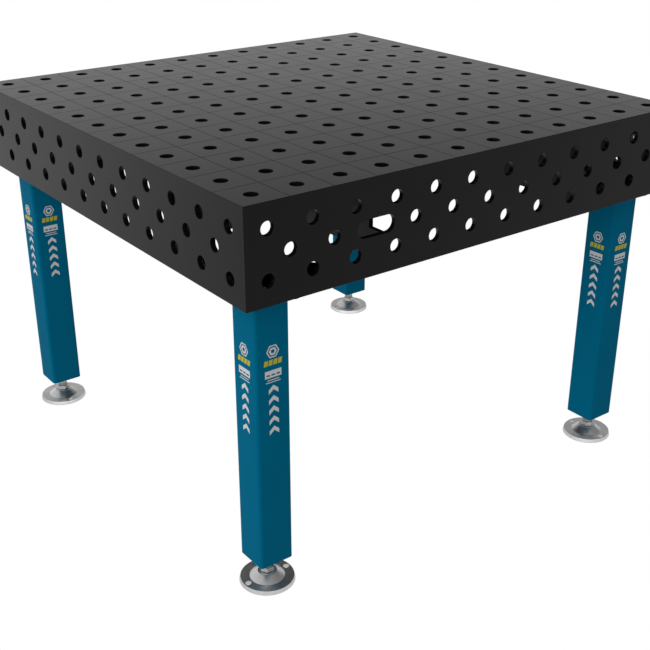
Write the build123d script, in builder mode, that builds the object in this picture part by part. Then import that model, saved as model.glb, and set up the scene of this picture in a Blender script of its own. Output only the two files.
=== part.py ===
from build123d import *
import os

# Welding table: a ribbed box top with a grid of system holes, on four bolted legs with
# levelling feet. Origin on the floor under the middle of the table, +Z up, millimetres.
# The front is -Y and the left is -X.

# ---- table box
TABLE = 1200.0                 # length and width of the top
TABLE_TOP = 880.0              # height of the work surface
BOX_HEIGHT = 200.0             # height of the box, top plate included
PLATE = 12.0                   # thickness of the top and the side plates

# ---- system holes
PITCH = 100.0
HOLE_R = 14.0
ACROSS = 12                    # holes across the top, and in each outer side row
ROW_DEPTHS = (50.0, 100.0, 150.0)   # side rows, below the work surface

# ---- hand slot in the front plate, in place of one hole of the middle row
SLOT_X = -300.0
SLOT_LENGTH = 92.0
SLOT_WIDTH = 36.0

# ---- ribs, two each way
RIB = 10.0
RIB_BOTTOM_DEPTH = 170.0       # lower edge of the ribs, below the work surface
RIB_FOOT_DEPTH = 190.0         # lower edge of their feet, by the side plates
RIB_FOOT_LENGTH = 50.0         # length of a foot, before it slopes up at 45 degrees
RIB_OFFSET = 275.0             # rib middle from the middle of the table
RIB_LAP_GAP = 0.1              # play on each side of a half-lap slot
NOTCH_LENGTH = 36.0            # clearance notch at each rib end, by the middle hole row
NOTCH_HEIGHT = 44.0
NOTCH_DEPTH = 98.0             # notch middle, below the work surface

# ---- corner plates
CORNER_SIDE = 300.0
CORNER_THICK = 10.0
CORNER_TIP = 12.0              # blunt width of the two sharp tips

# ---- legs
LEG = 80.0
LEG_WALL = 4.0
LEG_CORNER_R = 7.0
LEG_OFFSET = 513.0             # leg axis from the middle of the table, both ways
LEG_BOTTOM = 64.0
FLANGE = 116.0
FLANGE_THICK = 8.0
FLANGE_CORNER_R = 8.0
END_PLATE_THICK = 10.0

# ---- flange fasteners, M12
BOLT_SPACING = 94.0
BOLT_R = 6.0
BOLT_HOLE_R = 6.6
BOLT_FLATS = 18.0
BOLT_HEAD = 7.5
WASHER_R = 12.0
WASHER_THICK = 2.0
NUT_BORE_R = 6.05
NUT_HEIGHT = 10.8
BOLT_STAND = 3.0               # bolt end above its nut

# ---- levelling feet, M24 x 3
PAD_R = 60.5
PAD_TOP_R = 58.0
PAD_THICK = 10.0
PAD_EASE = 1.0                 # small chamfer under the rim
CONE_BASE_R = 38.0
CONE_TOP_R = 20.6
CONE_TOP = 23.5
ANCHOR_OFFSET = 49.0
ANCHOR_HOLE_R = 6.5
BALL_R = 9.5
BALL_HEIGHT = 17.6             # middle of the ball above the floor
BALL_PLAY = 0.05
SEAT_R = 10.9                  # outside of the thrust cup
SOCKET_R = 11.2                # round socket in the pad
RING_R = 12.5
RING_BORE_R = 8.6
RING_THICK = 1.3
NECK_R = 5.5
HEX_FLATS = 27.0
HEX_BOTTOM = 24.9
HEX_TOP = 36.0
HEX_EASE = 2.0                 # how far the corners stand out beyond the flats' circle
SPINDLE_R = 12.0
SPINDLE_TOP = 150.0
SPINDLE_PLAY = 0.05
SPINDLE_EASE = 1.5
SPINDLE_NUT_FLATS = 36.0
SPINDLE_NUT_HEIGHT = 19.0

# ---- worked out from the above
HALF = TABLE / 2
INSIDE = HALF - PLATE                      # inner face of the side plates
BOX_BOTTOM = TABLE_TOP - BOX_HEIGHT
UNDER_TOP = TABLE_TOP - PLATE
WALL_HEIGHT = UNDER_TOP - BOX_BOTTOM
FLANGE_BOTTOM = BOX_BOTTOM - FLANGE_THICK
CORNER_TOP = BOX_BOTTOM + CORNER_THICK
CORNERS = {
    "front_left": (-1, -1),
    "front_right": (1, -1),
    "back_left": (-1, 1),
    "back_right": (1, 1),
}

os.makedirs("parts", exist_ok=True)


def save(name, part):
    """Label a finished piece and write it as the STEP of that name."""
    part.label = name
    export_step(part, f"parts/{name}.step")


def top_plate():
    """The work plate with its square grid of system holes."""
    with BuildPart() as plate:
        with BuildSketch(Plane.XY.offset(UNDER_TOP)):
            Rectangle(TABLE, TABLE)
            with GridLocations(PITCH, PITCH, ACROSS, ACROSS):
                Circle(HOLE_R, mode=Mode.SUBTRACT)
        extrude(amount=PLATE)
    save("top_plate", plate.part)


def wall_holes(skip=None):
    """Cut three staggered rows of system holes in a wall sketch, x along the wall."""
    for depth in ROW_DEPTHS:
        count = ACROSS - 1 if depth == ROW_DEPTHS[1] else ACROSS
        start = -(count - 1) / 2 * PITCH
        spots = [start + k * PITCH for k in range(count)]
        if depth == ROW_DEPTHS[1] and skip is not None:
            spots.remove(skip)
        with Locations(*[(x, TABLE_TOP - depth) for x in spots]):
            Circle(HOLE_R, mode=Mode.SUBTRACT)


def side_plate(name, plane, length, slot_x=None):
    """A side wall, made along the plane's z. The plane's x runs along the wall, its y is height."""
    with BuildPart() as wall:
        with BuildSketch(plane):
            with Locations((0, BOX_BOTTOM + WALL_HEIGHT / 2)):
                Rectangle(length, WALL_HEIGHT)
            wall_holes(skip=slot_x)
            if slot_x is not None:
                with Locations((slot_x, TABLE_TOP - ROW_DEPTHS[1])):
                    SlotOverall(SLOT_LENGTH, SLOT_WIDTH, mode=Mode.SUBTRACT)
        extrude(amount=PLATE)
    save(name, wall.part)


def rib(name, plane, lap_from_top):
    """A rib with a foot and a clearance notch at each end, and two half-lap slots."""
    bottom = TABLE_TOP - RIB_BOTTOM_DEPTH
    foot_bottom = TABLE_TOP - RIB_FOOT_DEPTH
    foot_end = INSIDE - RIB_FOOT_LENGTH
    slope_end = foot_end - (bottom - foot_bottom)
    height = UNDER_TOP - bottom
    middle = UNDER_TOP - height / 2
    lap_middle = middle + (height / 4 if lap_from_top else -height / 4)
    with BuildPart() as body:
        with BuildSketch(plane):
            with Locations((0, middle)):
                Rectangle(2 * INSIDE, height)
            for end in (-1, 1):
                with BuildLine():
                    Polyline(
                        (end * INSIDE, bottom),
                        (end * INSIDE, foot_bottom),
                        (end * foot_end, foot_bottom),
                        (end * slope_end, bottom),
                        close=True,
                    )
                make_face()
            with Locations(
                (-INSIDE + NOTCH_LENGTH / 2, TABLE_TOP - NOTCH_DEPTH),
                (INSIDE - NOTCH_LENGTH / 2, TABLE_TOP - NOTCH_DEPTH),
            ):
                Rectangle(NOTCH_LENGTH, NOTCH_HEIGHT, mode=Mode.SUBTRACT)
            with Locations((-RIB_OFFSET, lap_middle), (RIB_OFFSET, lap_middle)):
                Rectangle(RIB + 2 * RIB_LAP_GAP, height / 2, mode=Mode.SUBTRACT)
        extrude(amount=RIB / 2, both=True)
    save(name, body.part)


def corner_plate(corner, sx, sy):
    """Triangular plate in a bottom corner of the box, with the leg's four bolt holes."""
    far = INSIDE - CORNER_SIDE
    tip = INSIDE - CORNER_TIP
    with BuildPart() as plate:
        with BuildSketch(Plane.XY.offset(BOX_BOTTOM)):
            with BuildLine():
                Polyline(
                    (sx * INSIDE, sy * INSIDE),
                    (sx * far, sy * INSIDE),
                    (sx * far, sy * tip),
                    (sx * tip, sy * far),
                    (sx * INSIDE, sy * far),
                    close=True,
                )
            make_face()
            with Locations((sx * LEG_OFFSET, sy * LEG_OFFSET)):
                with GridLocations(BOLT_SPACING, BOLT_SPACING, 2, 2):
                    Circle(BOLT_HOLE_R, mode=Mode.SUBTRACT)
        extrude(amount=CORNER_THICK)
    save(f"corner_plate_{corner}", plate.part)


def leg_flange(corner, x, y):
    """Square plate on top of a leg tube, bolted up to the corner plate."""
    with BuildPart() as flange:
        with BuildSketch(Plane.XY.offset(FLANGE_BOTTOM)):
            with Locations((x, y)):
                RectangleRounded(FLANGE, FLANGE, FLANGE_CORNER_R)
                with GridLocations(BOLT_SPACING, BOLT_SPACING, 2, 2):
                    Circle(BOLT_HOLE_R, mode=Mode.SUBTRACT)
        extrude(amount=FLANGE_THICK)
    save(f"leg_flange_{corner}", flange.part)


def leg_tube(corner, x, y):
    """Square hollow section with rounded corners."""
    inner = LEG - 2 * LEG_WALL
    with BuildPart() as tube:
        with BuildSketch(Plane.XY.offset(LEG_BOTTOM)):
            with Locations((x, y)):
                RectangleRounded(LEG, LEG, LEG_CORNER_R)
                RectangleRounded(inner, inner, LEG_CORNER_R - LEG_WALL, mode=Mode.SUBTRACT)
        extrude(amount=FLANGE_BOTTOM - LEG_BOTTOM)
    save(f"leg_tube_{corner}", tube.part)


def leg_end_plate(corner, x, y):
    """Plate inside the bottom of a leg tube, with the hole for the spindle."""
    inner = LEG - 2 * LEG_WALL
    with BuildPart() as plate:
        with BuildSketch(Plane.XY.offset(LEG_BOTTOM)):
            with Locations((x, y)):
                RectangleRounded(inner, inner, LEG_CORNER_R - LEG_WALL)
                Circle(SPINDLE_R + SPINDLE_PLAY, mode=Mode.SUBTRACT)
        extrude(amount=END_PLATE_THICK)
    save(f"leg_end_plate_{corner}", plate.part)


def leg_spots():
    """The four leg axes, as x and y."""
    return [(sx * LEG_OFFSET, sy * LEG_OFFSET) for sx, sy in CORNERS.values()]


def bolt_spots():
    """The sixteen flange bolt axes, as x and y."""
    half = BOLT_SPACING / 2
    return [(x + dx, y + dy) for x, y in leg_spots() for dx in (-half, half) for dy in (-half, half)]


def hexagons(name, spots, bottom, height, flats, bore_r):
    """Nuts: hexagons with a bore, one for each spot."""
    with BuildPart() as nuts:
        with BuildSketch(Plane.XY.offset(bottom)):
            with Locations(*spots):
                RegularPolygon(flats / 2, 6, major_radius=False)
                Circle(bore_r, mode=Mode.SUBTRACT)
        extrude(amount=height)
    save(name, nuts.part)


def flange_bolts():
    """Hexagon bolts, heads under the leg flanges."""
    under = FLANGE_BOTTOM - WASHER_THICK
    end = CORNER_TOP + NUT_HEIGHT + BOLT_STAND
    with BuildPart() as bolts:
        with BuildSketch(Plane.XY.offset(under)):
            with Locations(*bolt_spots()):
                Circle(BOLT_R)
        extrude(amount=end - under)
        chamfer(bolts.edges().group_by(Axis.Z)[-1], 1.0)
        with BuildSketch(Plane.XY.offset(under)):
            with Locations(*bolt_spots()):
                RegularPolygon(BOLT_FLATS / 2, 6, major_radius=False)
        extrude(amount=-BOLT_HEAD)
    save("flange_bolts", bolts.part)


def flange_washers():
    """Plain washers between the bolt heads and the flanges."""
    with BuildPart() as washers:
        with BuildSketch(Plane.XY.offset(FLANGE_BOTTOM - WASHER_THICK)):
            with Locations(*bolt_spots()):
                Circle(WASHER_R)
                Circle(BOLT_HOLE_R, mode=Mode.SUBTRACT)
        extrude(amount=WASHER_THICK)
    save("flange_washers", washers.part)


def axis_plane(x, y):
    """Upright plane through a leg axis: its x is the distance from the axis, its y is height."""
    return Plane(origin=(x, y, 0), x_dir=(1, 0, 0), z_dir=(0, -1, 0))


def upright(x, y):
    """The vertical axis of a leg and its foot."""
    return Axis((x, y, 0), (0, 0, 1))


def quarter_turned(x, y):
    """The front right and back left feet stand a quarter turn from the other two."""
    return x * y < 0


def foot_pad(corner, x, y):
    """Foot disc with a bevelled rim, a flat-topped cone, a round socket and two anchor holes."""
    if quarter_turned(x, y):
        anchors = [(x, y - ANCHOR_OFFSET), (x, y + ANCHOR_OFFSET)]
    else:
        anchors = [(x - ANCHOR_OFFSET, y), (x + ANCHOR_OFFSET, y)]
    with BuildPart() as pad:
        with BuildSketch(axis_plane(x, y)):
            with BuildLine():
                outline = Polyline(
                    (0, BALL_HEIGHT - SOCKET_R),
                    (0, 0),
                    (PAD_R - PAD_EASE, 0),
                    (PAD_R, PAD_EASE),
                    (PAD_TOP_R, PAD_THICK),
                    (CONE_BASE_R, PAD_THICK),
                    (CONE_TOP_R, CONE_TOP),
                    (RING_R, CONE_TOP),
                    (RING_R, CONE_TOP - RING_THICK),
                    (SOCKET_R, CONE_TOP - RING_THICK),
                    (SOCKET_R, BALL_HEIGHT),
                )
                CenterArc((0, BALL_HEIGHT), SOCKET_R, 0, -90)
            make_face()
        revolve(axis=upright(x, y))
        with BuildSketch():
            with Locations(*anchors):
                Circle(ANCHOR_HOLE_R)
        extrude(amount=PAD_THICK, mode=Mode.SUBTRACT)
    save(f"foot_pad_{corner}", pad.part)


def thrust_cup(corner, x, y):
    """Round seat under the spindle's ball end: half a spherical shell, open at the top."""
    seat = BALL_R + BALL_PLAY
    with BuildPart() as cup:
        with BuildSketch(axis_plane(x, y)):
            with BuildLine():
                CenterArc((0, BALL_HEIGHT), SEAT_R, 0, -90)
                Line((0, BALL_HEIGHT - SEAT_R), (0, BALL_HEIGHT - seat))
                CenterArc((0, BALL_HEIGHT), seat, -90, 90)
                Line((seat, BALL_HEIGHT), (SEAT_R, BALL_HEIGHT))
            make_face()
        revolve(axis=upright(x, y))
    save(f"thrust_cup_{corner}", cup.part)


def retaining_ring(corner, x, y):
    """Flat ring in the pad, which keeps the ball end in its socket."""
    with BuildPart() as ring:
        with BuildSketch(Plane.XY.offset(CONE_TOP - RING_THICK)):
            with Locations((x, y)):
                Circle(RING_R)
                Circle(RING_BORE_R, mode=Mode.SUBTRACT)
        extrude(amount=RING_THICK)
    save(f"retaining_ring_{corner}", ring.part)


def foot_spindle(corner, x, y):
    """Ball end, neck, hexagon with eased corners, and screw, in one piece."""
    turn = 30 if quarter_turned(x, y) else 0
    with BuildPart() as spindle:
        with BuildSketch(Plane.XY.offset(HEX_BOTTOM)):
            with Locations((x, y)):
                RegularPolygon(HEX_FLATS / 2, 6, major_radius=False, rotation=turn)
        extrude(amount=HEX_TOP - HEX_BOTTOM)
        with BuildSketch(axis_plane(x, y)):
            with BuildLine():
                Polyline(
                    (0, HEX_BOTTOM),
                    (HEX_FLATS / 2, HEX_BOTTOM),
                    (HEX_FLATS / 2 + HEX_EASE, HEX_BOTTOM + HEX_EASE / 2),
                    (HEX_FLATS / 2 + HEX_EASE, HEX_TOP - HEX_EASE / 2),
                    (HEX_FLATS / 2, HEX_TOP),
                    (0, HEX_TOP),
                    close=True,
                )
            make_face()
        revolve(axis=upright(x, y), mode=Mode.INTERSECT)
        with Locations((x, y, BALL_HEIGHT)):
            Sphere(BALL_R)
        with BuildSketch(Plane.XY.offset(BALL_HEIGHT)):
            with Locations((x, y)):
                Circle(NECK_R)
        extrude(amount=HEX_BOTTOM - BALL_HEIGHT)
        with BuildSketch(Plane.XY.offset(HEX_TOP)):
            with Locations((x, y)):
                Circle(SPINDLE_R)
        extrude(amount=SPINDLE_TOP - HEX_TOP)
        chamfer(spindle.edges().group_by(Axis.Z)[-1], SPINDLE_EASE)
    save(f"foot_spindle_{corner}", spindle.part)


top_plate()

side_plate("front_plate", Plane((0, -INSIDE, 0), (1, 0, 0), (0, -1, 0)), TABLE, slot_x=SLOT_X)
side_plate("back_plate", Plane((0, HALF, 0), (1, 0, 0), (0, -1, 0)), TABLE)
side_plate("left_plate", Plane((-INSIDE, 0, 0), (0, -1, 0), (-1, 0, 0)), 2 * INSIDE)
side_plate("right_plate", Plane((INSIDE, 0, 0), (0, 1, 0), (1, 0, 0)), 2 * INSIDE)

rib("rib_front", Plane((0, -RIB_OFFSET, 0), (1, 0, 0), (0, -1, 0)), lap_from_top=False)
rib("rib_back", Plane((0, RIB_OFFSET, 0), (1, 0, 0), (0, -1, 0)), lap_from_top=False)
rib("rib_left", Plane((-RIB_OFFSET, 0, 0), (0, 1, 0), (1, 0, 0)), lap_from_top=True)
rib("rib_right", Plane((RIB_OFFSET, 0, 0), (0, 1, 0), (1, 0, 0)), lap_from_top=True)

for corner, (side_x, side_y) in CORNERS.items():
    leg_x = side_x * LEG_OFFSET
    leg_y = side_y * LEG_OFFSET
    corner_plate(corner, side_x, side_y)
    leg_flange(corner, leg_x, leg_y)
    leg_tube(corner, leg_x, leg_y)
    leg_end_plate(corner, leg_x, leg_y)
    foot_pad(corner, leg_x, leg_y)
    thrust_cup(corner, leg_x, leg_y)
    retaining_ring(corner, leg_x, leg_y)
    foot_spindle(corner, leg_x, leg_y)

flange_bolts()
flange_washers()
hexagons("flange_nuts", bolt_spots(), CORNER_TOP, NUT_HEIGHT, BOLT_FLATS, NUT_BORE_R)
hexagons(
    "spindle_nuts",
    leg_spots(),
    LEG_BOTTOM + END_PLATE_THICK,
    SPINDLE_NUT_HEIGHT,
    SPINDLE_NUT_FLATS,
    SPINDLE_R + SPINDLE_PLAY,
)
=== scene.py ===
import math

import bmesh
import bpy
from mathutils import Matrix, Vector, noise


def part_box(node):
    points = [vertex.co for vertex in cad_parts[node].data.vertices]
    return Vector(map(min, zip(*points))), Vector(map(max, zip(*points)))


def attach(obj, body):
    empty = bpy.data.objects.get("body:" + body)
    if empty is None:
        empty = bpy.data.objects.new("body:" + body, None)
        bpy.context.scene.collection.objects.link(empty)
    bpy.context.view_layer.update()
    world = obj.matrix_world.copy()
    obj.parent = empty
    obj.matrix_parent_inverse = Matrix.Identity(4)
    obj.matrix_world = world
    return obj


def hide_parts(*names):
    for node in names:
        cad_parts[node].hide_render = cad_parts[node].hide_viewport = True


# Welding table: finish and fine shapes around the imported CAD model. Metres, +Z up.
# The front is -Y and the left is -X, as in the CAD model.
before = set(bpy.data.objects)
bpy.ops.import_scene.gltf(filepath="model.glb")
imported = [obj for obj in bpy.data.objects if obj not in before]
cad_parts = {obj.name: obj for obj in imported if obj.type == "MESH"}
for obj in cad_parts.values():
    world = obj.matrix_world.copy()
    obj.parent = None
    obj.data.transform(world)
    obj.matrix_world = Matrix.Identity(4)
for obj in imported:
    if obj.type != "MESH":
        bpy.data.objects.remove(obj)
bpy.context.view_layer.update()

CORNERS = ("front_left", "front_right", "back_left", "back_right")

# ---- places and sizes read from the frame
top_low, top_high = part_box("top_plate")
front_low, front_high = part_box("front_plate")
HALF = top_high.x
TABLE_TOP = top_high.z
UNDER_TOP = top_low.z
BOX_BOTTOM = front_low.z
WALL = front_high.y - front_low.y
INSIDE = HALF - WALL

# ---- system holes and scribed lines
PITCH = 0.100
ACROSS = 12
HOLE_R = 0.014
HOLE_SIDES = 48
HOLE_CHAMFER = 0.0009
SCRIBE_HALF = 0.00075          # half width of a scribed line
SCRIBE_DEPTH = 0.0006
EDGE = 0.0008                  # broken outer edges of the plates
ROW_DEPTHS = (0.050, 0.100, 0.150)
SLOT_X = -0.300
SLOT_LENGTH = 0.092
SLOT_WIDTH = 0.036


# ================================================================ materials

def new_material(name):
    """An empty node material with its Principled shader: (material, nodes, links, shader)."""
    material = bpy.data.materials.new(name)
    material.use_nodes = True
    tree = material.node_tree
    return material, tree.nodes, tree.links, tree.nodes["Principled BSDF"]


def noise_map(nodes, links, scale, detail=4.0, stretch=(1, 1, 1), rough=0.55):
    """3-D noise in the object's own coordinates, stretched along the axes."""
    where = nodes.new("ShaderNodeTexCoord")
    mapping = nodes.new("ShaderNodeMapping")
    mapping.inputs["Scale"].default_value = stretch
    texture = nodes.new("ShaderNodeTexNoise")
    texture.inputs["Scale"].default_value = scale
    texture.inputs["Detail"].default_value = detail
    texture.inputs["Roughness"].default_value = rough
    links.new(where.outputs["Object"], mapping.inputs["Vector"])
    links.new(mapping.outputs["Vector"], texture.inputs["Vector"])
    return texture.outputs["Fac"]


def ramp(nodes, links, value, low, high, start=0.3, end=0.7):
    """Colour that goes from low to high as value goes from start to end."""
    node = nodes.new("ShaderNodeValToRGB")
    node.color_ramp.elements[0].position = start
    node.color_ramp.elements[1].position = end
    node.color_ramp.elements[0].color = (*low, 1)
    node.color_ramp.elements[1].color = (*high, 1)
    links.new(value, node.inputs["Fac"])
    return node.outputs["Color"]


def spread(nodes, links, value, low, high, start=0.3, end=0.7):
    """Number that goes from low to high as value goes from start to end."""
    node = nodes.new("ShaderNodeMapRange")
    node.inputs["From Min"].default_value = start
    node.inputs["From Max"].default_value = end
    node.inputs["To Min"].default_value = low
    node.inputs["To Max"].default_value = high
    links.new(value, node.inputs["Value"])
    return node.outputs["Result"]


def bump(nodes, links, shader, heights):
    """Chain of bumps on the shader's normal: (height, distance in metres, strength) each."""
    before = None
    for height, distance, strength in heights:
        node = nodes.new("ShaderNodeBump")
        node.inputs["Distance"].default_value = distance
        node.inputs["Strength"].default_value = strength
        links.new(height, node.inputs["Height"])
        if before is not None:
            links.new(before, node.inputs["Normal"])
        before = node.outputs["Normal"]
    links.new(before, shader.inputs["Normal"])


STEEL_SPECULAR = 0.18
PAINT_SPECULAR = 0.01
INK_SPECULAR = 0.2


def nitrided_steel(name, dark, light, rough_low, rough_high, grain):
    """Dark nitrided steel: cloudy tone, fine grain, and faint grinding lines along grain."""
    material, nodes, links, shader = new_material(name)
    clouds = noise_map(nodes, links, 7.0, detail=6.0)
    lines = noise_map(nodes, links, 1.0, detail=5.0, stretch=grain, rough=0.7)
    fine = noise_map(nodes, links, 1400.0, detail=2.0)
    links.new(ramp(nodes, links, clouds, dark, light), shader.inputs["Base Color"])
    mixed = nodes.new("ShaderNodeMath")
    mixed.operation = "MULTIPLY_ADD"
    mixed.inputs[1].default_value = 0.5
    links.new(lines, mixed.inputs[0])
    half = nodes.new("ShaderNodeMath")
    half.operation = "MULTIPLY"
    half.inputs[1].default_value = 0.5
    links.new(clouds, half.inputs[0])
    links.new(half.outputs[0], mixed.inputs[2])
    links.new(
        spread(nodes, links, mixed.outputs[0], rough_low, rough_high, 0.35, 0.65),
        shader.inputs["Roughness"],
    )
    shader.inputs["Specular IOR Level"].default_value = STEEL_SPECULAR
    bump(nodes, links, shader, [(lines, 0.00002, 0.5), (fine, 0.00003, 0.5)])
    return material


def powder_coat(name, colour, shade):
    """Petrol powder coat: fine orange peel and a faint drift of tone."""
    material, nodes, links, shader = new_material(name)
    drift = noise_map(nodes, links, 9.0, detail=4.0)
    peel = noise_map(nodes, links, 520.0, detail=2.0, rough=0.4)
    specks = noise_map(nodes, links, 2600.0, detail=1.0)
    links.new(ramp(nodes, links, drift, shade, colour), shader.inputs["Base Color"])
    links.new(spread(nodes, links, peel, 0.42, 0.55), shader.inputs["Roughness"])
    shader.inputs["Specular IOR Level"].default_value = PAINT_SPECULAR
    bump(nodes, links, shader, [(peel, 0.00012, 0.35), (specks, 0.00002, 0.3)])
    return material


def turned_metal(name, colour, shade, rough_low, rough_high, anisotropic):
    """Bright turned metal: fine tool rings round the upright axis, and light wear."""
    material, nodes, links, shader = new_material(name)
    where = nodes.new("ShaderNodeTexCoord")
    rings = nodes.new("ShaderNodeTexNoise")
    rings.inputs["Scale"].default_value = 2600.0
    rings.inputs["Detail"].default_value = 1.0
    split = nodes.new("ShaderNodeSeparateXYZ")
    join = nodes.new("ShaderNodeCombineXYZ")
    links.new(where.outputs["Object"], split.inputs[0])
    links.new(split.outputs["Z"], join.inputs["Z"])
    links.new(join.outputs[0], rings.inputs["Vector"])
    wear = noise_map(nodes, links, 60.0, detail=6.0)
    fine = noise_map(nodes, links, 900.0, detail=3.0)
    links.new(ramp(nodes, links, wear, shade, colour), shader.inputs["Base Color"])
    links.new(spread(nodes, links, fine, rough_low, rough_high), shader.inputs["Roughness"])
    shader.inputs["Metallic"].default_value = 1.0
    if anisotropic:
        tangent = nodes.new("ShaderNodeTangent")
        tangent.direction_type = "RADIAL"
        tangent.axis = "Z"
        links.new(tangent.outputs[0], shader.inputs["Tangent"])
        shader.inputs["Anisotropic"].default_value = anisotropic
    bump(nodes, links, shader, [(rings.outputs["Fac"], 0.00001, 0.3), (fine, 0.00001, 0.25)])
    return material


def weld_metal(name):
    """Dark heat-tinted weld bead."""
    material, nodes, links, shader = new_material(name)
    tint = noise_map(nodes, links, 120.0, detail=5.0)
    fine = noise_map(nodes, links, 1500.0, detail=3.0)
    colour = ramp(nodes, links, tint, (0.03, 0.028, 0.03), (0.11, 0.10, 0.10))
    links.new(colour, shader.inputs["Base Color"])
    links.new(spread(nodes, links, fine, 0.3, 0.5), shader.inputs["Roughness"])
    shader.inputs["Metallic"].default_value = 1.0
    bump(nodes, links, shader, [(tint, 0.0003, 0.4), (fine, 0.00005, 0.4)])
    return material


def print_ink(name, colour):
    """Printed film: flat ink with a faint screen grain."""
    material, nodes, links, shader = new_material(name)
    grain = noise_map(nodes, links, 900.0, detail=3.0)
    shade = tuple(0.93 * c for c in colour)
    links.new(ramp(nodes, links, grain, shade, colour), shader.inputs["Base Color"])
    links.new(spread(nodes, links, grain, 0.4, 0.5), shader.inputs["Roughness"])
    shader.inputs["Specular IOR Level"].default_value = INK_SPECULAR
    bump(nodes, links, shader, [(grain, 0.00002, 0.3)])
    return material


STEEL_TOP = nitrided_steel(
    "nitrided_top", (0.0030, 0.0030, 0.0031), (0.0048, 0.0048, 0.0049), 0.13, 0.20, (14, 900, 14)
)
STEEL_SIDE = nitrided_steel(
    "nitrided_side", (0.0028, 0.0028, 0.0029), (0.0044, 0.0044, 0.0045), 0.22, 0.30, (900, 900, 14)
)
STEEL_BORE = nitrided_steel(
    "nitrided_bore", (0.0030, 0.0030, 0.0030), (0.006, 0.006, 0.006), 0.30, 0.42, (500, 500, 500)
)
# Scribed line steel: its darker colour is painted shade in the groove; its higher roughness is the
# line's own finish.
STEEL_SCRIBE_SHADE = nitrided_steel(
    "scribed_line_painted_shade", (0.0015, 0.0015, 0.0015), (0.0025, 0.0025, 0.0025), 0.55, 0.70, (300, 300, 300)
)
PAINT = powder_coat("petrol_powder_coat", (0.0, 0.150, 0.272), (0.0, 0.140, 0.256))
BRIGHT = turned_metal("bright_turned_steel", (0.90, 0.89, 0.88), (0.76, 0.76, 0.76), 0.28, 0.36, 0.5)
THREAD = turned_metal("rolled_thread", (0.90, 0.90, 0.90), (0.78, 0.78, 0.78), 0.20, 0.30, 0.0)
# Collar metal: its darker colour is painted shade, the dark band at the base of the thread.
COLLAR = turned_metal("collar_painted_shade", (0.42, 0.42, 0.42), (0.34, 0.34, 0.34), 0.25, 0.35, 0.0)
BLACK_OXIDE = nitrided_steel(
    "black_oxide", (0.006, 0.006, 0.007), (0.013, 0.013, 0.015), 0.30, 0.42, (400, 400, 400)
)
BRONZE = turned_metal("seat_bronze", (0.55, 0.36, 0.16), (0.42, 0.27, 0.11), 0.25, 0.38, 0.0)
WELD = weld_metal("weld_bead")
WHITE_INK = print_ink("white_print", (0.74, 0.74, 0.74))
YELLOW_INK = print_ink("yellow_print", (0.60, 0.52, 0.02))


# ================================================================ mesh helpers

def piece_from(mesh_data, name, materials, body, slot, replaced=(), smooth=35.0):
    """Turn a bmesh into a shown piece that rides on a CAD body."""
    bmesh.ops.remove_doubles(mesh_data, verts=mesh_data.verts[:], dist=1e-6)
    bmesh.ops.recalc_face_normals(mesh_data, faces=mesh_data.faces[:])
    mesh = bpy.data.meshes.new(name)
    mesh_data.to_mesh(mesh)
    mesh_data.free()
    for material in materials:
        mesh.materials.append(material)
    mesh.polygons.foreach_set("use_smooth", [True] * len(mesh.polygons))
    mesh.set_sharp_from_angle(angle=math.radians(smooth))
    piece = bpy.data.objects.new(name, mesh)
    bpy.context.scene.collection.objects.link(piece)
    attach(piece, body)
    if replaced:
        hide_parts(*replaced)
    return piece


def circle(x, y, radius, sides):
    """Points of a circle, anticlockwise."""
    steps = [2 * math.pi * k / sides for k in range(sides)]
    return [(x + radius * math.cos(a), y + radius * math.sin(a)) for a in steps]


def slot_outline(x, y, length, width, sides=24):
    """Points of an obround, anticlockwise."""
    reach = (length - width) / 2
    points = []
    for k in range(sides + 1):
        a = -math.pi / 2 + math.pi * k / sides
        points.append((x + reach + width / 2 * math.cos(a), y + width / 2 * math.sin(a)))
    for k in range(sides + 1):
        a = math.pi / 2 + math.pi * k / sides
        points.append((x - reach + width / 2 * math.cos(a), y + width / 2 * math.sin(a)))
    return points


def rounded_square(x, y, size, radius, steps=8):
    """Points of a square with rounded corners, anticlockwise."""
    reach = size / 2 - radius
    points = []
    for corner, (sx, sy) in enumerate(((1, 1), (-1, 1), (-1, -1), (1, -1))):
        for k in range(steps + 1):
            a = math.pi / 2 * (corner + k / steps)
            points.append(
                (x + sx * reach + radius * math.cos(a), y + sy * reach + radius * math.sin(a))
            )
    return points


def ring_of(mesh_data, points, z, place):
    """Vertices of a closed outline at height z, placed by a matrix."""
    return [mesh_data.verts.new(place @ Vector((x, y, z))) for x, y in points]


def join_rings(mesh_data, lower, upper, material=0):
    """Wall of quads between two rings of equal length."""
    count = len(lower)
    for k in range(count):
        after = (k + 1) % count
        face = mesh_data.faces.new((lower[k], lower[after], upper[after], upper[k]))
        face.material_index = material


def fill_between(mesh_data, rings, material=0):
    """Flat face inside the first ring and outside the others."""
    edges = []
    for ring in rings:
        for k, vertex in enumerate(ring):
            pair = (vertex, ring[(k + 1) % len(ring)])
            edges.append(mesh_data.edges.get(pair) or mesh_data.edges.new(pair))
    made = bmesh.ops.triangle_fill(mesh_data, use_beauty=True, edges=edges)
    for item in made["geom"]:
        if isinstance(item, bmesh.types.BMFace):
            item.material_index = material


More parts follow.
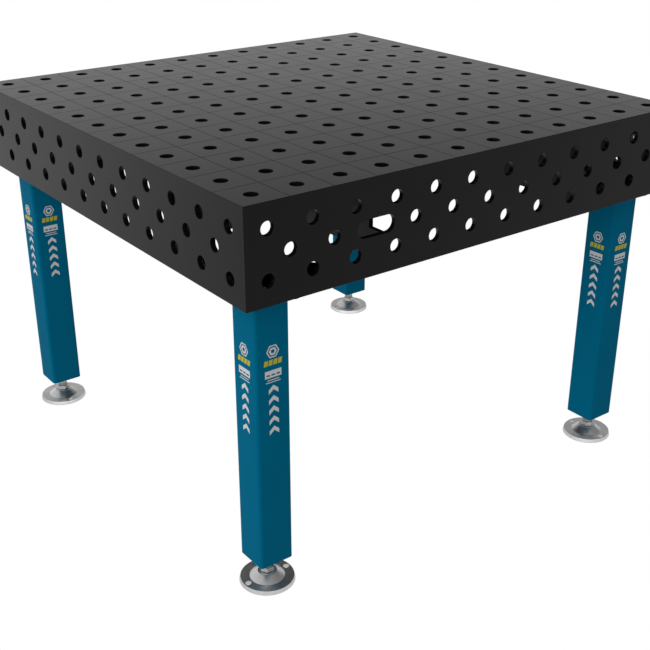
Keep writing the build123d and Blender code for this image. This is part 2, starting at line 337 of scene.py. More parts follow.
def plate_with_holes(name, outline_at, holes_at, thick, edge, chamfer, place, **made):
    """Plate from z 0 to thick: outline_at(inset) and each hole_at(outset) give their points."""
    data = bmesh.new()
    sides = []
    for z_flat, z_step in ((0, edge), (thick, thick - edge)):
        flat = ring_of(data, outline_at(edge), z_flat, place)
        step = ring_of(data, outline_at(0), z_step, place)
        join_rings(data, flat, step)
        sides.append((flat, step))
    join_rings(data, sides[0][1], sides[1][1])
    rims = ([], [])
    for hole_at in holes_at:
        low_rim = ring_of(data, hole_at(chamfer), 0, place)
        low = ring_of(data, hole_at(0), chamfer, place)
        high = ring_of(data, hole_at(0), thick - chamfer, place)
        high_rim = ring_of(data, hole_at(chamfer), thick, place)
        join_rings(data, low_rim, low, 1)
        join_rings(data, low, high, 1)
        join_rings(data, high, high_rim, 1)
        rims[0].append(low_rim)
        rims[1].append(high_rim)
    fill_between(data, [sides[0][0]] + rims[0])
    fill_between(data, [sides[1][0]] + rims[1])
    return piece_from(data, name, **made)


def lathe(data, profile, x, y, sides, materials=None):
    """Surface of revolution about the upright axis at x, y. Returns its rings."""
    rings = []
    for radius, z in profile:
        if radius < 1e-9:
            rings.append([data.verts.new((x, y, z))])
        else:
            rings.append(ring_of(data, circle(x, y, radius, sides), z, Matrix.Identity(4)))
    for k in range(len(rings) - 1):
        low, high = rings[k], rings[k + 1]
        material = materials[k] if materials else 0
        if len(low) == 1 and len(high) == 1:
            continue
        if len(low) == 1 or len(high) == 1:
            tip, loop = (low[0], high) if len(low) == 1 else (high[0], low)
            for n in range(sides):
                face = data.faces.new((tip, loop[n], loop[(n + 1) % sides]))
                face.material_index = material
        else:
            join_rings(data, low, high, material)
    return rings


def eased(points, radius, steps=3, keep=()):
    """A profile with its inner corners rounded, except those listed in keep."""
    result = [points[0]]
    for k in range(1, len(points) - 1):
        before, here, after = (Vector(points[n]) for n in (k - 1, k, k + 1))
        reach = min(radius, (before - here).length * 0.45, (after - here).length * 0.45)
        if k in keep or reach < 1e-6:
            result.append(tuple(here))
            continue
        start = here + (before - here).normalized() * reach
        end = here + (after - here).normalized() * reach
        for n in range(steps + 1):
            t = n / steps
            point = start * (1 - t) ** 2 + here * 2 * t * (1 - t) + end * t * t
            result.append(tuple(point))
    result.append(points[-1])
    return result


# ================================================================ table box

def tile_square(inset, sides):
    """Points on a tile's square outline, one for each step of its hole, anticlockwise."""
    reach = PITCH / 2 - inset
    points = []
    for k in range(sides):
        a = 2 * math.pi * k / sides
        grow = reach / max(abs(math.cos(a)), abs(math.sin(a)))
        points.append((grow * math.cos(a), grow * math.sin(a)))
    return points


def work_plate():
    """Top plate: a tile for each system hole, with scribed lines between the tiles."""
    data = bmesh.new()
    lip = tile_square(SCRIBE_HALF, HOLE_SIDES)
    rim = tile_square(0, HOLE_SIDES)
    bore = circle(0, 0, HOLE_R, HOLE_SIDES)
    mouth = circle(0, 0, HOLE_R + HOLE_CHAMFER, HOLE_SIDES)
    centres = [(k - (ACROSS - 1) / 2) * PITCH for k in range(ACROSS)]
    for x in centres:
        for y in centres:
            at = Matrix.Translation((x, y, 0))
            outside = [
                abs(x + px) > HALF - 1e-6 or abs(y + py) > HALF - 1e-6 for px, py in rim
            ]
            top_rim = [
                data.verts.new((x + px, y + py, TABLE_TOP - (EDGE if out else SCRIBE_DEPTH)))
                for (px, py), out in zip(rim, outside)
            ]
            top_lip = ring_of(data, lip, TABLE_TOP, at)
            top_mouth = ring_of(data, mouth, TABLE_TOP, at)
            top_bore = ring_of(data, bore, TABLE_TOP - HOLE_CHAMFER, at)
            low_bore = ring_of(data, bore, UNDER_TOP + HOLE_CHAMFER, at)
            low_mouth = ring_of(data, mouth, UNDER_TOP, at)
            under = ring_of(data, rim, UNDER_TOP, at)
            join_rings(data, top_lip, top_mouth, 0)
            join_rings(data, top_mouth, top_bore, 1)
            join_rings(data, top_bore, low_bore, 1)
            join_rings(data, low_bore, low_mouth, 1)
            join_rings(data, low_mouth, under, 0)
            for k in range(HOLE_SIDES):
                after = (k + 1) % HOLE_SIDES
                on_edge = outside[k] and outside[after]
                face = data.faces.new((top_rim[k], top_rim[after], top_lip[after], top_lip[k]))
                # Groove faces take material 2, whose darker colour is painted shade in the groove.
                face.material_index = 0 if on_edge else 2
                if on_edge:
                    middle = (Vector(rim[k]) + Vector(rim[after])) / 2
                    if max(abs(x + middle.x), abs(y + middle.y)) > HALF - 1e-6:
                        face = data.faces.new((under[k], under[after], top_rim[after], top_rim[k]))
                        face.material_index = 3
    piece_from(
        data, "work_plate", (STEEL_TOP, STEEL_BORE, STEEL_SCRIBE_SHADE, STEEL_SIDE), "table", "table_steel",
        replaced=("top_plate",),
    )


def wall_holes(skip_x=None):
    """Outlines of a side wall's holes: x along the wall from its middle, y up from its bottom."""
    holes = []
    for depth in ROW_DEPTHS:
        count = ACROSS - 1 if depth == ROW_DEPTHS[1] else ACROSS
        for k in range(count):
            x = (k - (count - 1) / 2) * PITCH
            if skip_x is not None and depth == ROW_DEPTHS[1] and abs(x - skip_x) < 1e-6:
                continue
            y = TABLE_TOP - depth - BOX_BOTTOM
            holes.append(lambda grow, x=x, y=y: circle(x, y, HOLE_R + grow, HOLE_SIDES))
    return holes


def wall_plate(name, node, turn, length, edge, slot_x=None):
    """A side wall with chamfered holes. turn is its direction about the upright axis."""
    height = UNDER_TOP - BOX_BOTTOM
    holes = wall_holes(slot_x)
    if slot_x is not None:
        y = TABLE_TOP - ROW_DEPTHS[1] - BOX_BOTTOM
        holes.append(
            lambda grow: slot_outline(slot_x, y, SLOT_LENGTH + 2 * grow, SLOT_WIDTH + 2 * grow)
        )

    def outline(inset):
        """Rectangle of the wall, smaller by inset."""
        reach = length / 2 - inset
        return [(-reach, inset), (reach, inset), (reach, height - inset), (-reach, height - inset)]

    upright = Matrix.Rotation(math.pi / 2, 4, "X")
    place = (
        Matrix.Rotation(turn, 4, "Z")
        @ Matrix.Translation((0, -INSIDE, BOX_BOTTOM))
        @ upright
    )
    plate_with_holes(
        name, outline, holes, WALL, edge, HOLE_CHAMFER, place,
        materials=(STEEL_SIDE, STEEL_BORE), body="table", slot="table_steel", replaced=(node,),
    )


SEAM = 0.00015                 # broken edge of the walls, so that their seams are hairlines

work_plate()
wall_plate("wall_front", "front_plate", 0, 2 * HALF, SEAM, slot_x=SLOT_X)
wall_plate("wall_back", "back_plate", math.pi, 2 * HALF, SEAM)
wall_plate("wall_right", "right_plate", math.pi / 2, 2 * INSIDE, SEAM)
wall_plate("wall_left", "left_plate", -math.pi / 2, 2 * INSIDE, SEAM)


def finish_node(name, material, bevel=None):
    """Give a CAD node its material, and break its edges."""
    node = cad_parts[name]
    for slot in node.material_slots:
        slot.material = material
    if not node.material_slots:
        node.data.materials.append(material)
    if bevel:
        weld = node.modifiers.new("weld", "WELD")
        weld.merge_threshold = 1e-5
        edge = node.modifiers.new("edge", "BEVEL")
        edge.width = bevel
        edge.segments = 2
        edge.limit_method = "ANGLE"
        edge.angle_limit = math.radians(40)
        edge.harden_normals = True


for side in ("front", "back", "left", "right"):
    finish_node(f"rib_{side}", STEEL_SIDE)


# ================================================================ legs and feet

LEG = 0.080
LEG_WALL = 0.004
LEG_CORNER_R = 0.007


def leg_places():
    """Each corner's name, the x and y of its leg's axis, and the leg's ends, from the frame."""
    for corner in CORNERS:
        low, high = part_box(f"leg_tube_{corner}")
        yield corner, (low.x + high.x) / 2, (low.y + high.y) / 2, low.z, high.z


def leg(corner, x, y, bottom, top):
    """Square tube with rounded corners and broken ends."""
    data = bmesh.new()
    ease = 0.0006
    inner = LEG - 2 * LEG_WALL
    still = Matrix.Identity(4)
    rings = []
    for size, radius, z in (
        (LEG - 2 * ease, LEG_CORNER_R - ease, bottom),
        (LEG, LEG_CORNER_R, bottom + ease),
        (LEG, LEG_CORNER_R, top - ease),
        (LEG - 2 * ease, LEG_CORNER_R - ease, top),
        (inner + 2 * ease, LEG_CORNER_R - LEG_WALL + ease, top),
        (inner, LEG_CORNER_R - LEG_WALL, top - ease),
        (inner, LEG_CORNER_R - LEG_WALL, bottom + ease),
        (inner + 2 * ease, LEG_CORNER_R - LEG_WALL + ease, bottom),
    ):
        rings.append(ring_of(data, rounded_square(x, y, size, radius), z, still))
    for k, ring in enumerate(rings):
        join_rings(data, ring, rings[(k + 1) % len(rings)])
    piece_from(
        data, f"leg_{corner}", (PAINT,), "table", "leg_paint", replaced=(f"leg_tube_{corner}",)
    )


PAD_R = 0.0605
PAD_TOP_R = 0.058
PAD_THICK = 0.010
CONE_BASE_R = 0.038
CONE_TOP_R = 0.0206
CONE_TOP = 0.0235
RING_R = 0.0125
RING_THICK = 0.0013
SOCKET_R = 0.0112
BALL_HEIGHT = 0.0176
ANCHOR_OFFSET = 0.049
ANCHOR_R = 0.0065
PAD_SIDES = 128


def quarter_turned(corner):
    """Two of the feet stand a quarter turn from the other two."""
    return corner in ("front_right", "back_left")


def pad(corner, x, y):
    """Foot disc with flat-topped cone, ball socket and two chamfered anchor holes."""
    data = bmesh.new()
    still = Matrix.Identity(4)
    ease = 0.0005
    inner_rim = CONE_BASE_R + 0.0012
    rim = eased(
        [
            (PAD_R - 0.001, 0), (PAD_R, 0.001),
            (PAD_TOP_R + 0.0003, PAD_THICK), (PAD_TOP_R - 0.001, PAD_THICK),
        ],
        0.0006,
    )
    hub = eased(
        [
            (inner_rim, PAD_THICK), (CONE_BASE_R, PAD_THICK), (CONE_TOP_R, CONE_TOP),
            (RING_R, CONE_TOP), (RING_R, CONE_TOP - RING_THICK),
            (SOCKET_R, CONE_TOP - RING_THICK), (SOCKET_R, BALL_HEIGHT),
        ],
        0.0007,
    )
    steps = 10
    for k in range(1, steps + 1):
        a = -math.pi / 2 * k / steps
        hub.append((max(0.0, SOCKET_R * math.cos(a)), BALL_HEIGHT + SOCKET_R * math.sin(a)))
    hub[-1] = (0.0, BALL_HEIGHT - SOCKET_R)
    rim_rings = lathe(data, rim, x, y, PAD_SIDES)
    hub_rings = lathe(data, hub, x, y, PAD_SIDES)
    top_loops = [rim_rings[-1], hub_rings[0]]
    low_loops = [rim_rings[0]]
    for offset in (-ANCHOR_OFFSET, ANCHOR_OFFSET):
        spot = (x, y + offset) if quarter_turned(corner) else (x + offset, y)
        mouth = circle(*spot, ANCHOR_R + ease, HOLE_SIDES)
        bore = circle(*spot, ANCHOR_R, HOLE_SIDES)
        rings = [
            ring_of(data, mouth, 0, still),
            ring_of(data, bore, ease, still),
            ring_of(data, bore, PAD_THICK - ease, still),
            ring_of(data, mouth, PAD_THICK, still),
        ]
        for k in range(3):
            join_rings(data, rings[k], rings[k + 1])
        low_loops.append(rings[0])
        top_loops.append(rings[3])
    fill_between(data, top_loops)
    fill_between(data, low_loops)
    made = piece_from(
        data, f"pad_{corner}", (BRIGHT,), f"pad_{corner}", "bright_zinc",
        replaced=(f"foot_pad_{corner}",), smooth=25,
    )
    made.modifiers.new("normals", "WEIGHTED_NORMAL").keep_sharp = True


BALL_R = 0.0095
NECK_R = 0.0055
HEX_FLATS = 0.027
HEX_BOTTOM = 0.0249
HEX_TOP = 0.036
HEX_TURN = math.pi / 6         # turns a hexagon's corners onto the X axis
COLLAR_TOP = 0.0435            # plain collar between the hexagon and the thread
SPINDLE_TOP = 0.150
SPINDLE_R = 0.012
THREAD_PITCH = 0.003
THREAD_DEPTH = 0.00184
THREAD_STEPS = 48


def hexagon(data, x, y, flats, bottom, top, turn=0.0, steps=12, corner_cut=0.5, ends=(True, True)):
    """Hexagon with chamfered corners. Returns its inner rings at the bottom and the top."""
    outer_low, outer_high, ring_low, ring_high = [], [], [], []
    inner_r = flats / 2 * 0.96
    for k in range(6 * steps):
        a = 2 * math.pi * k / (6 * steps)
        from_flat = (a + math.pi / 6) % (math.pi / 3) - math.pi / 6
        reach = flats / 2 / math.cos(from_flat)
        drop = (reach - inner_r) * corner_cut
        direction = (math.cos(a + turn), math.sin(a + turn))
        outer = (x + reach * direction[0], y + reach * direction[1])
        inner = (x + inner_r * direction[0], y + inner_r * direction[1])
        outer_low.append(data.verts.new((*outer, bottom + (drop if ends[0] else 0))))
        outer_high.append(data.verts.new((*outer, top - (drop if ends[1] else 0))))
        ring_low.append(data.verts.new((*inner, bottom)))
        ring_high.append(data.verts.new((*inner, top)))
    join_rings(data, ring_low, outer_low)
    join_rings(data, outer_low, outer_high)
    join_rings(data, outer_high, ring_high)
    return ring_low, ring_high


def thread(data, x, y, bottom, top, material):
    """Helical 60 degree thread with run-outs, closed at both ends."""
    root = SPINDLE_R - THREAD_DEPTH
    profile = ((0.0, 0.0), (0.14, 0.0), (0.44, 1.0), (0.56, 1.0), (0.86, 0.0))
    turns = int((top - bottom) / THREAD_PITCH) + 2
    count = turns * THREAD_STEPS
    lines = []
    for step in range(count + 1):
        a = 2 * math.pi * step / THREAD_STEPS
        line = []
        for along, high in profile:
            z = bottom + (step / THREAD_STEPS - 1 + along) * THREAD_PITCH
            radius = root + THREAD_DEPTH * high
            radius = min(radius, SPINDLE_R - max(0.0, z - (top - 0.0015)))
            if z <= bottom or z >= top:
                z = min(max(z, bottom), top)
                radius = root if z == bottom else min(root, SPINDLE_R - 0.0015)
            line.append(data.verts.new((x + radius * math.cos(a), y + radius * math.sin(a), z)))
        lines.append(line)
    for step in range(count):
        here, after = lines[step], lines[step + 1]
        for k in range(len(profile) - 1):
            face = data.faces.new((here[k], after[k], after[k + 1], here[k + 1]))
            face.material_index = material
        above = step + THREAD_STEPS
        if above < count:
            face = data.faces.new((here[-1], after[-1], lines[above + 1][0], lines[above][0]))
            face.material_index = material


def spindle(corner, x, y):
    """Ball end, neck, chamfered hexagon, plain collar and threaded screw."""
    data = bmesh.new()
    steps = 14
    half_turn = [math.pi * k / steps - math.pi / 2 for k in range(steps + 1)]
    ball = [(BALL_R * math.cos(a), BALL_HEIGHT + BALL_R * math.sin(a)) for a in half_turn]
    ball = [p for p in ball if p[1] < BALL_HEIGHT or p[0] > NECK_R]
    ball[0] = (0.0, BALL_HEIGHT - BALL_R)
    neck_foot = BALL_HEIGHT + math.sqrt(BALL_R**2 - NECK_R**2)
    profile = ball + [(NECK_R, neck_foot), (NECK_R, HEX_BOTTOM)]
    sides = 72
    rings = lathe(data, profile, x, y, sides)
    turn = 0 if quarter_turned(corner) else HEX_TURN
    low, high = hexagon(data, x, y, HEX_FLATS, HEX_BOTTOM, HEX_TOP, turn=turn, ends=(False, True))
    join_rings(data, rings[-1], low)
    shoulder = SPINDLE_R - THREAD_DEPTH
    ease = 0.0005
    collar = [
        (SPINDLE_R - ease, HEX_TOP), (SPINDLE_R, HEX_TOP + ease),
        (SPINDLE_R, COLLAR_TOP - ease), (SPINDLE_R - ease, COLLAR_TOP),
        (shoulder, COLLAR_TOP), (shoulder, COLLAR_TOP + 0.003),
    ]
    # Collar faces take material 2, darker metal that is painted shade at the thread's base.
    collar_rings = lathe(data, collar, x, y, sides, materials=[2] * (len(collar) - 1))
    join_rings(data, high, collar_rings[0])
    thread(data, x, y, COLLAR_TOP, SPINDLE_TOP, 1)
    tip = ring_of(data, circle(x, y, shoulder, sides), SPINDLE_TOP, Matrix.Identity(4))
    data.faces.new(tip).material_index = 1
    piece_from(
        data, f"spindle_{corner}", (BRIGHT, THREAD, COLLAR), f"spindle_{corner}", "bright_zinc",
        replaced=(f"foot_spindle_{corner}",), smooth=30,
    )


for corner, x, y, bottom, top in leg_places():
    leg(corner, x, y, bottom, top)
    pad(corner, x, y)
    spindle(corner, x, y)
    finish_node(f"leg_flange_{corner}", PAINT, bevel=0.0008)
    finish_node(f"leg_end_plate_{corner}", PAINT)
    finish_node(f"corner_plate_{corner}", STEEL_SIDE, bevel=0.0006)
    finish_node(f"thrust_cup_{corner}", BRONZE)
    finish_node(f"retaining_ring_{corner}", BLACK_OXIDE)


# ================================================================ fasteners

BOLT_SPACING = 0.094
BOLT_FLATS = 0.018
BOLT_R = 0.006
WASHER_R = 0.012
WASHER_HOLE_R = 0.0066
NUT_BORE_R = 0.00605
SPINDLE_NUT_FLATS = 0.036
SPINDLE_NUT_BORE_R = 0.01205


def bolt_places():
    """The sixteen flange bolt axes, as x and y."""
    half = BOLT_SPACING / 2
    for corner, x, y, bottom, top in leg_places():
        for dx in (-half, half):
            for dy in (-half, half):
                yield x + dx, y + dy


def shown_bolts():
    """Hexagon bolts: chamfered head below, washer face, shank and chamfered end."""
    low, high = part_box("flange_bolts")
    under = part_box("flange_washers")[0].z
    data = bmesh.new()
    for x, y in bolt_places():
        ring_low, ring_high = hexagon(
            data, x, y, BOLT_FLATS, low.z, under, turn=HEX_TURN, steps=8, ends=(True, False)
        )
        data.faces.new(ring_low)
        sides = len(ring_high)
        shank = lathe(
            data, [(BOLT_R, under), (BOLT_R, high.z - 0.001), (BOLT_R - 0.001, high.z)], x, y, sides
        )
        join_rings(data, ring_high, shank[0])
        data.faces.new(shank[-1])
    piece_from(
        data, "bolts", (BLACK_OXIDE,), "table", "black_fastener", replaced=("flange_bolts",)
    )


def shown_washers():
    """Plain washers with broken edges."""
    low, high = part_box("flange_washers")
    ease = 0.0003
    data = bmesh.new()
    for x, y in bolt_places():
        profile = [
            (WASHER_HOLE_R, low.z), (WASHER_R - ease, low.z), (WASHER_R, low.z + ease),
            (WASHER_R, high.z - ease), (WASHER_R - ease, high.z), (WASHER_HOLE_R, high.z),
        ]
        rings = lathe(data, profile, x, y, HOLE_SIDES)
        join_rings(data, rings[-1], rings[0])
    piece_from(
        data, "washers", (BLACK_OXIDE,), "table", "black_fastener", replaced=("flange_washers",)
    )


def shown_nuts(name, node, places, flats, bore_r, slot="black_fastener"):
    """Hexagon nuts, chamfered on both faces, with a countersunk bore."""
    low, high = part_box(node)
    sink = 0.0008
    data = bmesh.new()
    for x, y in places:
        ring_low, ring_high = hexagon(data, x, y, flats, low.z, high.z, turn=HEX_TURN, steps=8)
        sides = len(ring_low)
        profile = [
            (bore_r + sink, low.z), (bore_r, low.z + sink),
            (bore_r, high.z - sink), (bore_r + sink, high.z),
        ]
        bore = lathe(data, profile, x, y, sides)
        join_rings(data, ring_low, bore[0])
        join_rings(data, ring_high, bore[-1])
    piece_from(data, name, (BLACK_OXIDE,), "table", slot, replaced=(node,))


shown_bolts()
shown_washers()
shown_nuts("nuts", "flange_nuts", list(bolt_places()), BOLT_FLATS, NUT_BORE_R)
shown_nuts(
    "foot_nuts",
    "spindle_nuts",
    [(x, y) for corner, x, y, bottom, top in leg_places()],
    SPINDLE_NUT_FLATS,
    SPINDLE_NUT_BORE_R,
)


# ================================================================ welds

BEAD_STEP = 0.0012
BEAD_RIPPLE = 0.0036           # length of one ripple along a bead
FILLET = 0.004
STITCH = 0.040                 # length of one stitch weld


def bead(data, start, end, out_a, out_b, leg_size, seed):
    """Fillet weld along a line, in the corner between faces that look along out_a and out_b."""
    start, end = Vector(start), Vector(end)
    out_a, out_b = Vector(out_a), Vector(out_b)
    length = (end - start).length
    steps = max(6, int(length / BEAD_STEP))
    arc = 5
    rows = []
    for k in range(steps + 1):
        t = k / steps
        here = start.lerp(end, t)
        from_end = min(t, 1 - t) * length
        taper = math.sqrt(min(1.0, from_end / leg_size + 0.02))
        wave = 0.5 + 0.5 * math.cos(2 * math.pi * t * length / BEAD_RIPPLE)
        drift = noise.noise(here * 180 + Vector((seed, 0, 0)))
        size = leg_size * taper * (1 + 0.10 * wave + 0.10 * drift)
        row = [data.verts.new(here - (out_a + out_b) * 0.0002)]
        for n in range(arc + 1):
            a = math.pi / 2 * n / arc
            bulge = size * (0.72 + 0.28 * abs(math.cos(2 * a)))
            row.append(data.verts.new(here + (out_a * math.cos(a) + out_b * math.sin(a)) * bulge))
        rows.append(row)
    for k in range(steps):
        join_rings(data, rows[k], rows[k + 1])
    data.faces.new(rows[0])
    data.faces.new(rows[-1])


def corner_welds():
    """Beads between the corner plates and the walls, and round the leg tops."""
    for number, (corner, x, y, bottom, top) in enumerate(leg_places()):
        sx, sy = math.copysign(1, x), math.copysign(1, y)
        low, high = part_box(f"corner_plate_{corner}")
        data = bmesh.new()
        far_x = low.x if sx > 0 else high.x
        far_y = low.y if sy > 0 else high.y
        wall_x, wall_y = sx * INSIDE, sy * INSIDE
        bead(data, (far_x, wall_y, high.z), (wall_x - sx * FILLET, wall_y, high.z),
             (0, -sy, 0), (0, 0, 1), FILLET, number)
        bead(data, (wall_x, far_y, high.z), (wall_x, wall_y - sy * FILLET, high.z),
             (-sx, 0, 0), (0, 0, 1), FILLET, number + 10)
        half = LEG / 2
        flat = half - LEG_CORNER_R
        for dx, dy in ((1, 0), (-1, 0), (0, 1), (0, -1)):
            side = Vector((dx, dy, 0))
            along = Vector((-dy, dx, 0))
            middle = Vector((x, y, top)) + side * half
            bead(data, middle - along * flat, middle + along * flat,
                 side, (0, 0, -1), FILLET, number + dx + 2 * dy)
        piece_from(data, f"weld_{corner}", (WELD,), "table", "table_steel", smooth=50)


def rib_welds():
    """Stitch welds between the ribs and the top plate, both sides of each rib."""
    ribs = (("front", 0), ("back", 0), ("left", 1), ("right", 1))
    for number, (side, axis) in enumerate(ribs):
        low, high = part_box(f"rib_{side}")
        data = bmesh.new()
        for k in range(ACROSS):
            middle = (k - (ACROSS - 1) / 2) * PITCH
            for face, out in ((low, -1), (high, 1)):
                start, end = Vector((0, 0, high.z)), Vector((0, 0, high.z))
                start[axis], end[axis] = middle - STITCH / 2, middle + STITCH / 2
                start[1 - axis] = end[1 - axis] = face[1 - axis]
                outward = Vector((0, 0, 0))
                outward[1 - axis] = out
                if abs(abs(middle) - RIB_OFFSET) < STITCH / 2 + FILLET:
                    continue
                bead(data, start, end, outward, (0, 0, -1), FILLET * 0.8, number * 20 + k)
        piece_from(data, f"weld_rib_{side}", (WELD,), "table", "table_steel", smooth=50)


def wall_welds():
    """Stitch welds inside the box, between the walls and the top plate."""
    data = bmesh.new()
    for k in range(ACROSS):
        middle = (k - (ACROSS - 1) / 2) * PITCH + PITCH / 2
        if k == ACROSS - 1 or abs(abs(middle) - RIB_OFFSET) < STITCH:
            continue
        for out in (-1, 1):
            y = out * INSIDE
            bead(data, (middle - STITCH / 2, y, UNDER_TOP), (middle + STITCH / 2, y, UNDER_TOP),
                 (0, -out, 0), (0, 0, -1), FILLET, k)
            bead(data, (y, middle - STITCH / 2, UNDER_TOP), (y, middle + STITCH / 2, UNDER_TOP),
                 (-out, 0, 0), (0, 0, -1), FILLET, k + 30)
    for sx in (-1, 1):
        for sy in (-1, 1):
            x, y = sx * INSIDE, sy * INSIDE
            bead(data, (x, y, BOX_BOTTOM + WALL), (x, y, UNDER_TOP),
                 (-sx, 0, 0), (0, -sy, 0), FILLET, 60 + sx + 2 * sy)
    piece_from(data, "weld_walls", (WELD,), "table", "table_steel", smooth=50)


rib_low, rib_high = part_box("rib_right")
RIB_OFFSET = (rib_low.x + rib_high.x) / 2
corner_welds()
rib_welds()
wall_welds()


# ================================================================ printed marks on the legs

FILM = 0.00012                 # thickness of the printed film
BADGE_HEIGHT = 0.5605          # heights above the floor
BLOCKS_HEIGHT = 0.5375
PANEL_HEIGHT = 0.5128
WINDOWS_HEIGHT = 0.5105
LINE_HEIGHTS = ((0.5000, 0.0280), (0.4950, 0.0345))   # with each line's length
CHEVRONS = 5
CHEVRON_LOW = 0.3780           # lowest points of the lowest chevron
CHEVRON_STEP = 0.0228


def film(data, place, outline, holes=(), material=0):
    """Thin film with an outline and cut-outs, standing on the face that place gives."""
    rings = []
    for points in (outline, *holes):
        low = ring_of(data, points, 0, place)
        high = ring_of(data, points, FILM, place)
        join_rings(data, low, high, material)
        rings.append((low, high))
    fill_between(data, [low for low, high in rings], material)
    fill_between(data, [high for low, high in rings], material)


def bar(x, y, width, height, slant=0.0):
    """Outline of a bar, leaning by slant."""
    return [
        (x - width / 2 - slant / 2, y - height / 2),
        (x + width / 2 - slant / 2, y - height / 2),
        (x + width / 2 + slant / 2, y + height / 2),
        (x - width / 2 + slant / 2, y + height / 2),
    ]


def chevron(y, width, rise, stroke):
    """Outline of an upward chevron whose lowest points are at height y."""
    half = width / 2
    return [
        (-half, y), (0, y + rise), (half, y),
        (half, y + stroke), (0, y + rise + stroke), (-half, y + stroke),
    ]


def leg_marks(corner, face, place):
    """Generic printed marks on one leg face: badge, yellow blocks, panel, lines and chevrons."""
    data = bmesh.new()
    badge = BADGE_HEIGHT
    film(data, place, circle(0, badge, 0.0150, 6), [circle(0, badge, 0.0122, 6)], 0)
    film(data, place, circle(0, badge, 0.0090, 6), [circle(0, badge, 0.0042, 32)], 0)
    for k in range(4):
        film(data, place, bar((k - 1.5) * 0.0108, BLOCKS_HEIGHT, 0.0086, 0.0115, 0.002), (), 1)
    windows = [bar((k - 1) * 0.0115, WINDOWS_HEIGHT, 0.0085, 0.0034) for k in range(3)]
    film(data, place, bar(0, PANEL_HEIGHT, 0.0385, 0.0158), windows, 0)
    for line_height, length in LINE_HEIGHTS:
        film(data, place, bar(0, line_height, length, 0.0018), (), 0)
    for k in range(CHEVRONS):
        film(data, place, chevron(CHEVRON_LOW + CHEVRON_STEP * k, 0.0225, 0.0095, 0.0095), (), 0)
    piece_from(
        data, f"marks_{face}_{corner}", (WHITE_INK, YELLOW_INK), "table", "leg_paint", smooth=20
    )


for corner, x, y, bottom, top in leg_places():
    upright = Matrix.Rotation(math.pi / 2, 4, "X")
    front_face = Matrix.Translation((x, y - LEG / 2, 0)) @ upright
    left_face = (
        Matrix.Translation((x - LEG / 2, y, 0)) @ Matrix.Rotation(-math.pi / 2, 4, "Z") @ upright
    )
    leg_marks(corner, "front", front_face)
    leg_marks(corner, "left", left_face)


# ================================================================ floor, light and camera

WHITE_SEEN = 1.0               # what the camera sees of the floor and the backdrop
FLOOR_DIFFUSE = 0.42           # what lights the object from the floor
FLOOR_NEAR = 0.58              # what its gloss mirrors of the floor, at the front
FLOOR_FAR = 0.79               # and at the back
FLOOR_SPAN = (1.0, 3.0)        # from y to y


def stage_floor():
    """Plain white floor that glows: even white to the camera, a weaker even glow that lights the
    object, and a glow seen only in gloss that grows from front to back.
    """
    data = bmesh.new()
    bmesh.ops.create_grid(data, x_segments=1, y_segments=1, size=30)
    mesh = bpy.data.meshes.new("studio_floor")
    data.to_mesh(mesh)
    data.free()
    floor = bpy.data.objects.new("studio_floor", mesh)
    floor.location.z = -0.0005
    bpy.context.scene.collection.objects.link(floor)
    material = bpy.data.materials.new("studio_floor")
    material.use_nodes = True
    nodes, links = material.node_tree.nodes, material.node_tree.links
    nodes.clear()
    ray = nodes.new("ShaderNodeLightPath")
    seen = nodes.new("ShaderNodeEmission")
    seen.inputs["Strength"].default_value = WHITE_SEEN
    where = nodes.new("ShaderNodeTexCoord")
    split = nodes.new("ShaderNodeSeparateXYZ")
    links.new(where.outputs["Object"], split.inputs[0])
    along = spread(nodes, links, split.outputs["Y"], FLOOR_NEAR, FLOOR_FAR, *FLOOR_SPAN)
    mirrored = nodes.new("ShaderNodeEmission")
    links.new(along, mirrored.inputs["Strength"])
    diffuse = nodes.new("ShaderNodeEmission")
    diffuse.inputs["Strength"].default_value = FLOOR_DIFFUSE
    lit = nodes.new("ShaderNodeMixShader")
    mix = nodes.new("ShaderNodeMixShader")
    out = nodes.new("ShaderNodeOutputMaterial")
    links.new(ray.outputs["Is Diffuse Ray"], lit.inputs["Fac"])
    links.new(mirrored.outputs[0], lit.inputs[1])
    links.new(diffuse.outputs[0], lit.inputs[2])
    links.new(ray.outputs["Is Camera Ray"], mix.inputs["Fac"])
    links.new(lit.outputs[0], mix.inputs[1])
    links.new(seen.outputs[0], mix.inputs[2])
    links.new(mix.outputs[0], out.inputs["Surface"])
    mesh.materials.append(material)


def leaning(nodes, links, direction, lean, level):
    """Light strength that changes evenly across the sky: level plus direction dot lean."""
    side = nodes.new("ShaderNodeVectorMath")
    side.operation = "DOT_PRODUCT"
    side.inputs[1].default_value = lean
    total = nodes.new("ShaderNodeMath")
    total.operation = "ADD"
    links.new(direction, side.inputs[0])
    links.new(side.outputs["Value"], total.inputs[0])
    total.inputs[1].default_value = level
    return total.outputs[0]


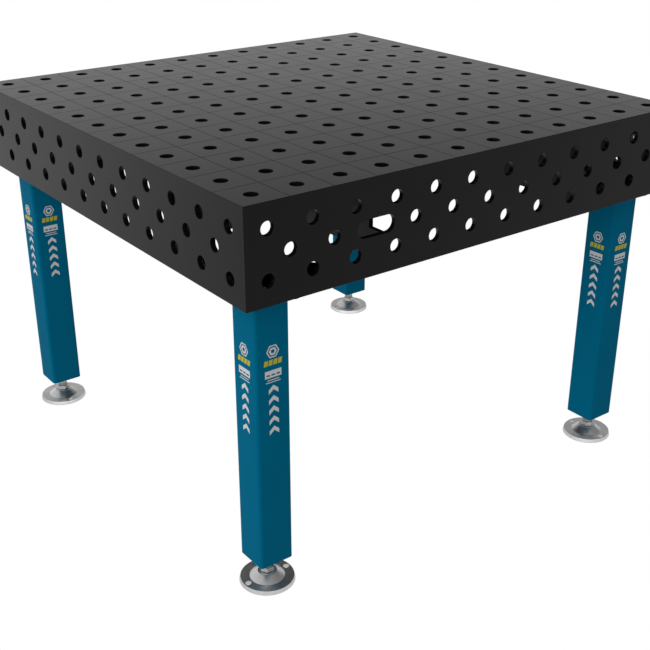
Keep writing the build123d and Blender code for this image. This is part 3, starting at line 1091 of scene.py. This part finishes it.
def studio_world():
    """White backdrop. Its light is a little stronger from the left, the back and below.

    Gloss mirrors it brightest near the horizon.
    """
    world = bpy.data.worlds.new("studio")
    world.use_nodes = True
    bpy.context.scene.world = world
    nodes, links = world.node_tree.nodes, world.node_tree.links
    nodes.clear()
    ray = nodes.new("ShaderNodeLightPath")
    where = nodes.new("ShaderNodeTexCoord")
    split = nodes.new("ShaderNodeSeparateXYZ")
    links.new(where.outputs["Generated"], split.inputs[0])
    height = nodes.new("ShaderNodeMapRange")
    height.interpolation_type = "SMOOTHSTEP"
    height.inputs["From Min"].default_value = SKY_SPAN[0]
    height.inputs["From Max"].default_value = SKY_SPAN[1]
    links.new(split.outputs["Z"], height.inputs["Value"])
    direction = where.outputs["Generated"]
    light = leaning(nodes, links, direction, LIGHT_LEAN, LIGHT_LEVEL)
    sky = nodes.new("ShaderNodeMix")
    sky.data_type = "FLOAT"
    links.new(height.outputs["Result"], sky.inputs[0])
    links.new(leaning(nodes, links, direction, LOW_SKY_LEAN, LOW_SKY), sky.inputs[2])
    links.new(leaning(nodes, links, direction, HIGH_SKY_LEAN, HIGH_SKY), sky.inputs[3])
    shapes = []
    for strength in (light, sky.outputs[0]):
        shade = nodes.new("ShaderNodeBackground")
        links.new(strength, shade.inputs["Strength"])
        shapes.append(shade)
    seen = nodes.new("ShaderNodeBackground")
    seen.inputs["Color"].default_value = (1.0, 1.0, 1.0, 1.0)
    seen.inputs["Strength"].default_value = WHITE_SEEN
    lit = nodes.new("ShaderNodeMixShader")
    mix = nodes.new("ShaderNodeMixShader")
    out = nodes.new("ShaderNodeOutputWorld")
    links.new(ray.outputs["Is Glossy Ray"], lit.inputs["Fac"])
    links.new(shapes[0].outputs[0], lit.inputs[1])
    links.new(shapes[1].outputs[0], lit.inputs[2])
    links.new(ray.outputs["Is Camera Ray"], mix.inputs["Fac"])
    links.new(lit.outputs[0], mix.inputs[1])
    links.new(seen.outputs[0], mix.inputs[2])
    links.new(mix.outputs[0], out.inputs["Surface"])


def soft_box(name, place, aim, size, power):
    """Large soft area light that the camera doesn't see."""
    light = bpy.data.lights.new(name, "AREA")
    light.shape = "RECTANGLE"
    light.size, light.size_y = size
    light.energy = power
    lamp = bpy.data.objects.new(name, light)
    lamp.location = place
    lamp.rotation_euler = (Vector(aim) - Vector(place)).to_track_quat("-Z", "Y").to_euler()
    lamp.visible_camera = False
    lamp.visible_glossy = False
    bpy.context.scene.collection.objects.link(lamp)


LIGHT_LEVEL = 0.88             # even light on matt surfaces
LIGHT_LEAN = (-0.50, 0.25, -0.35)
SKY_SPAN = (0.147, 0.314)      # sine of the height over which the mirrored sky changes
LOW_SKY = 1.31                 # mirrored sky near the horizon
LOW_SKY_LEAN = (-0.47, -0.27, 0.0)
HIGH_SKY = 0.46                # and high up
HIGH_SKY_LEAN = (-0.24, 0.18, 0.0)

stage_floor()
studio_world()
soft_box("key", (-3.2, -1.2, 2.6), (0, 0, 0.5), (2.4, 2.4), 24)

camera_data = bpy.data.cameras.new("camera")
camera_data.lens = 60.08
camera_data.sensor_width = 36.0
camera_data.clip_start = 0.05
camera_data.clip_end = 200.0
camera = bpy.data.objects.new("camera", camera_data)
camera.location = (-1.54935, -2.09576, 1.48023)
camera.rotation_euler = (math.radians(65.022), 0.0, math.radians(-36.97))
bpy.context.scene.collection.objects.link(camera)
bpy.context.scene.camera = camera
bpy.context.scene.view_settings.view_transform = "Standard"
